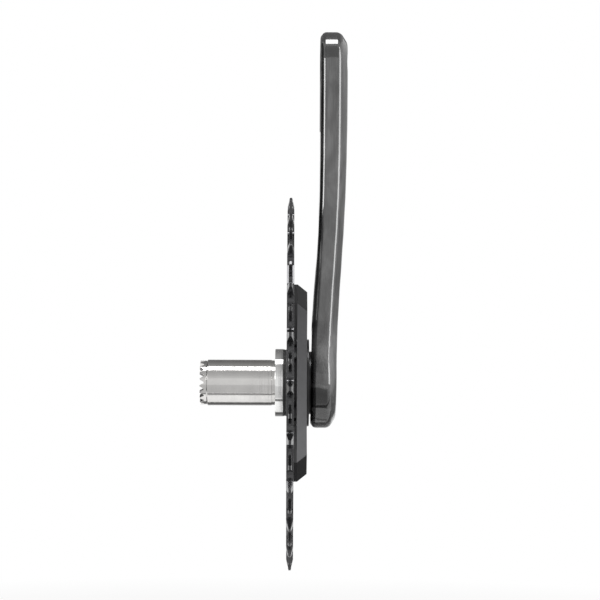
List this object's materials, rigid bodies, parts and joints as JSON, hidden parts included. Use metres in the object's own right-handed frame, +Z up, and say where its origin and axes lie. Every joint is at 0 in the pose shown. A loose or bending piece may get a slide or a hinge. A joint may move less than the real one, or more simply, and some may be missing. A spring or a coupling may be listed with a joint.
{
  "type": "bicycle crank arm",
  "caption": "Drive-side crank arm with a hollow half spindle, face-toothed end, bearing, spider and narrow-wide chainring.",
  "frame": {"origin": "on the spindle axis, in the pitch plane of the face teeth, which is the bicycle's centre plane", "axes": "+X outboard along the spindle, +Z up along the arm to the pedal eye, +Y square to both"},
  "size_m": [0.0798, 0.2018, 0.2946],
  "materials": {
    "carbon": "clear-coated carbon fibre",
    "insert_metal": "machined",
    "spindle_metal": "satin turned titanium",
    "black_anodised": "black anodised",
    "spider_black": "satin black",
    "chainring_black": "black anodised",
    "bolt_metal": "black coated",
    "bearing_steel": "ground steel",
    "seal_rubber": "moulded rubber",
    "cage_plastic": "moulded nylon"
  },
  "bodies": {
    "crank": {"crank_arm": "carbon", "pedal_insert": "insert_metal", "half_spindle": "spindle_metal", "spider_mount": "black_anodised", "spider": "spider_black", "spider_lockring": "black_anodised", "chainring": "chainring_black", "chainring_bolts": "bolt_metal", "bearing_inner_race": "bearing_steel"},
    "outer_race": {"bearing_outer_race": "bearing_steel", "bearing_seal": "seal_rubber", "dust_seal": "seal_rubber"},
    "ball_set": {"bearing_balls": "bearing_steel", "bearing_cage": "cage_plastic"}
  },
  "joints": [
    {"name": "bearing_turn", "type": "hinge", "parent": "crank", "child": "outer_race", "pos_m": [0.04255, 0, 0], "axis": [1, 0, 0], "continuous": true},
    {"name": "ball_set_turn", "type": "hinge", "parent": "crank", "child": "ball_set", "pos_m": [0.04255, 0, 0], "axis": [1, 0, 0], "continuous": true}
  ],
  "couplings": [
    {"joint": "ball_set_turn", "follows": "bearing_turn", "ratio": 0.5512}
  ]
}
